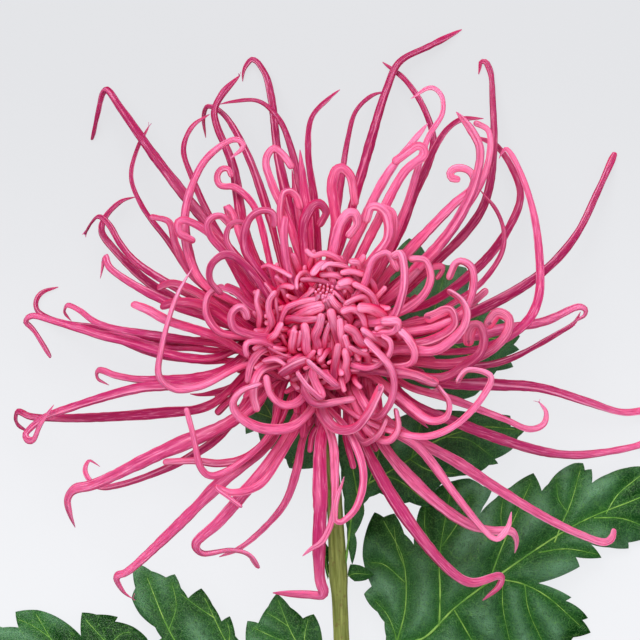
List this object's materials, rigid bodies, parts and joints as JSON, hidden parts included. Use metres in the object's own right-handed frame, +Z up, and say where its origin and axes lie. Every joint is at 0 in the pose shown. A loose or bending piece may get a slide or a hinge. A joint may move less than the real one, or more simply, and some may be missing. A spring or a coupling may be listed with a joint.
{
  "type": "cut spider chrysanthemum",
  "caption": "Cut spider chrysanthemum lying down, its bloom facing up: long hooked tubular florets round a dense curled centre, a bare stem and lobed leaves.",
  "frame": {"origin": "on the surface it lies on, under the middle of the whole flower's bounding box", "axes": "+Z up from the surface, the way the bloom faces; +Y along the stem from its cut end to the bloom; +X to the viewer's right"},
  "size_m": [0.1822, 0.2546, 0.0744],
  "materials": {
    "petal": "matte, waxy",
    "leaf": "matte with a dull sheen",
    "stem": "matte, ridged"
  },
  "bodies": {
    "root": {"floret_left_01": "petal", "floret_left_02": "petal", "floret_left_03": "petal", "floret_left_04": "petal", "floret_left_05": "petal", "floret_left_06": "petal", "floret_left_07": "petal", "floret_left_08": "petal", "floret_left_09": "petal", "floret_left_10": "petal", "floret_left_11": "petal", "floret_left_12": "petal", "floret_left_13": "petal", "floret_left_14": "petal", "floret_lower_01": "petal", "floret_lower_02": "petal", "floret_lower_03": "petal", "floret_lower_04": "petal", "floret_lower_05": "petal", "floret_lower_06": "petal", "floret_lower_07": "petal", "floret_lower_08": "petal", "floret_lower_09": "petal", "floret_lower_10": "petal", "floret_right_01": "petal", "floret_right_02": "petal", "floret_right_03": "petal", "floret_right_04": "petal", "floret_right_05": "petal", "floret_right_06": "petal", "floret_right_07": "petal", "floret_right_08": "petal", "floret_right_09": "petal", "floret_top_01": "petal", "floret_top_02": "petal", "floret_top_03": "petal", "floret_top_04": "petal", "floret_top_05": "petal", "floret_top_06": "petal", "floret_top_07": "petal", "floret_top_08": "petal", "floret_top_09": "petal", "floret_top_10": "petal", "floret_top_11": "petal", "floret_top_12": "petal", "floret_top_13": "petal", "floret_top_14": "petal", "floret_top_15": "petal", "floret_top_16": "petal", "flower_head": "petal", "leaf_lower_right": "leaf", "leaf_right": "leaf", "leaf_upper_right": "leaf", "leaf_lower_left": "leaf", "leaf_left": "leaf", "leaf_left_small": "leaf", "leaflet_right": "leaf", "leaflet_left": "leaf", "involucre": "leaf", "stem": "stem"}
  },
  "joints": []
}
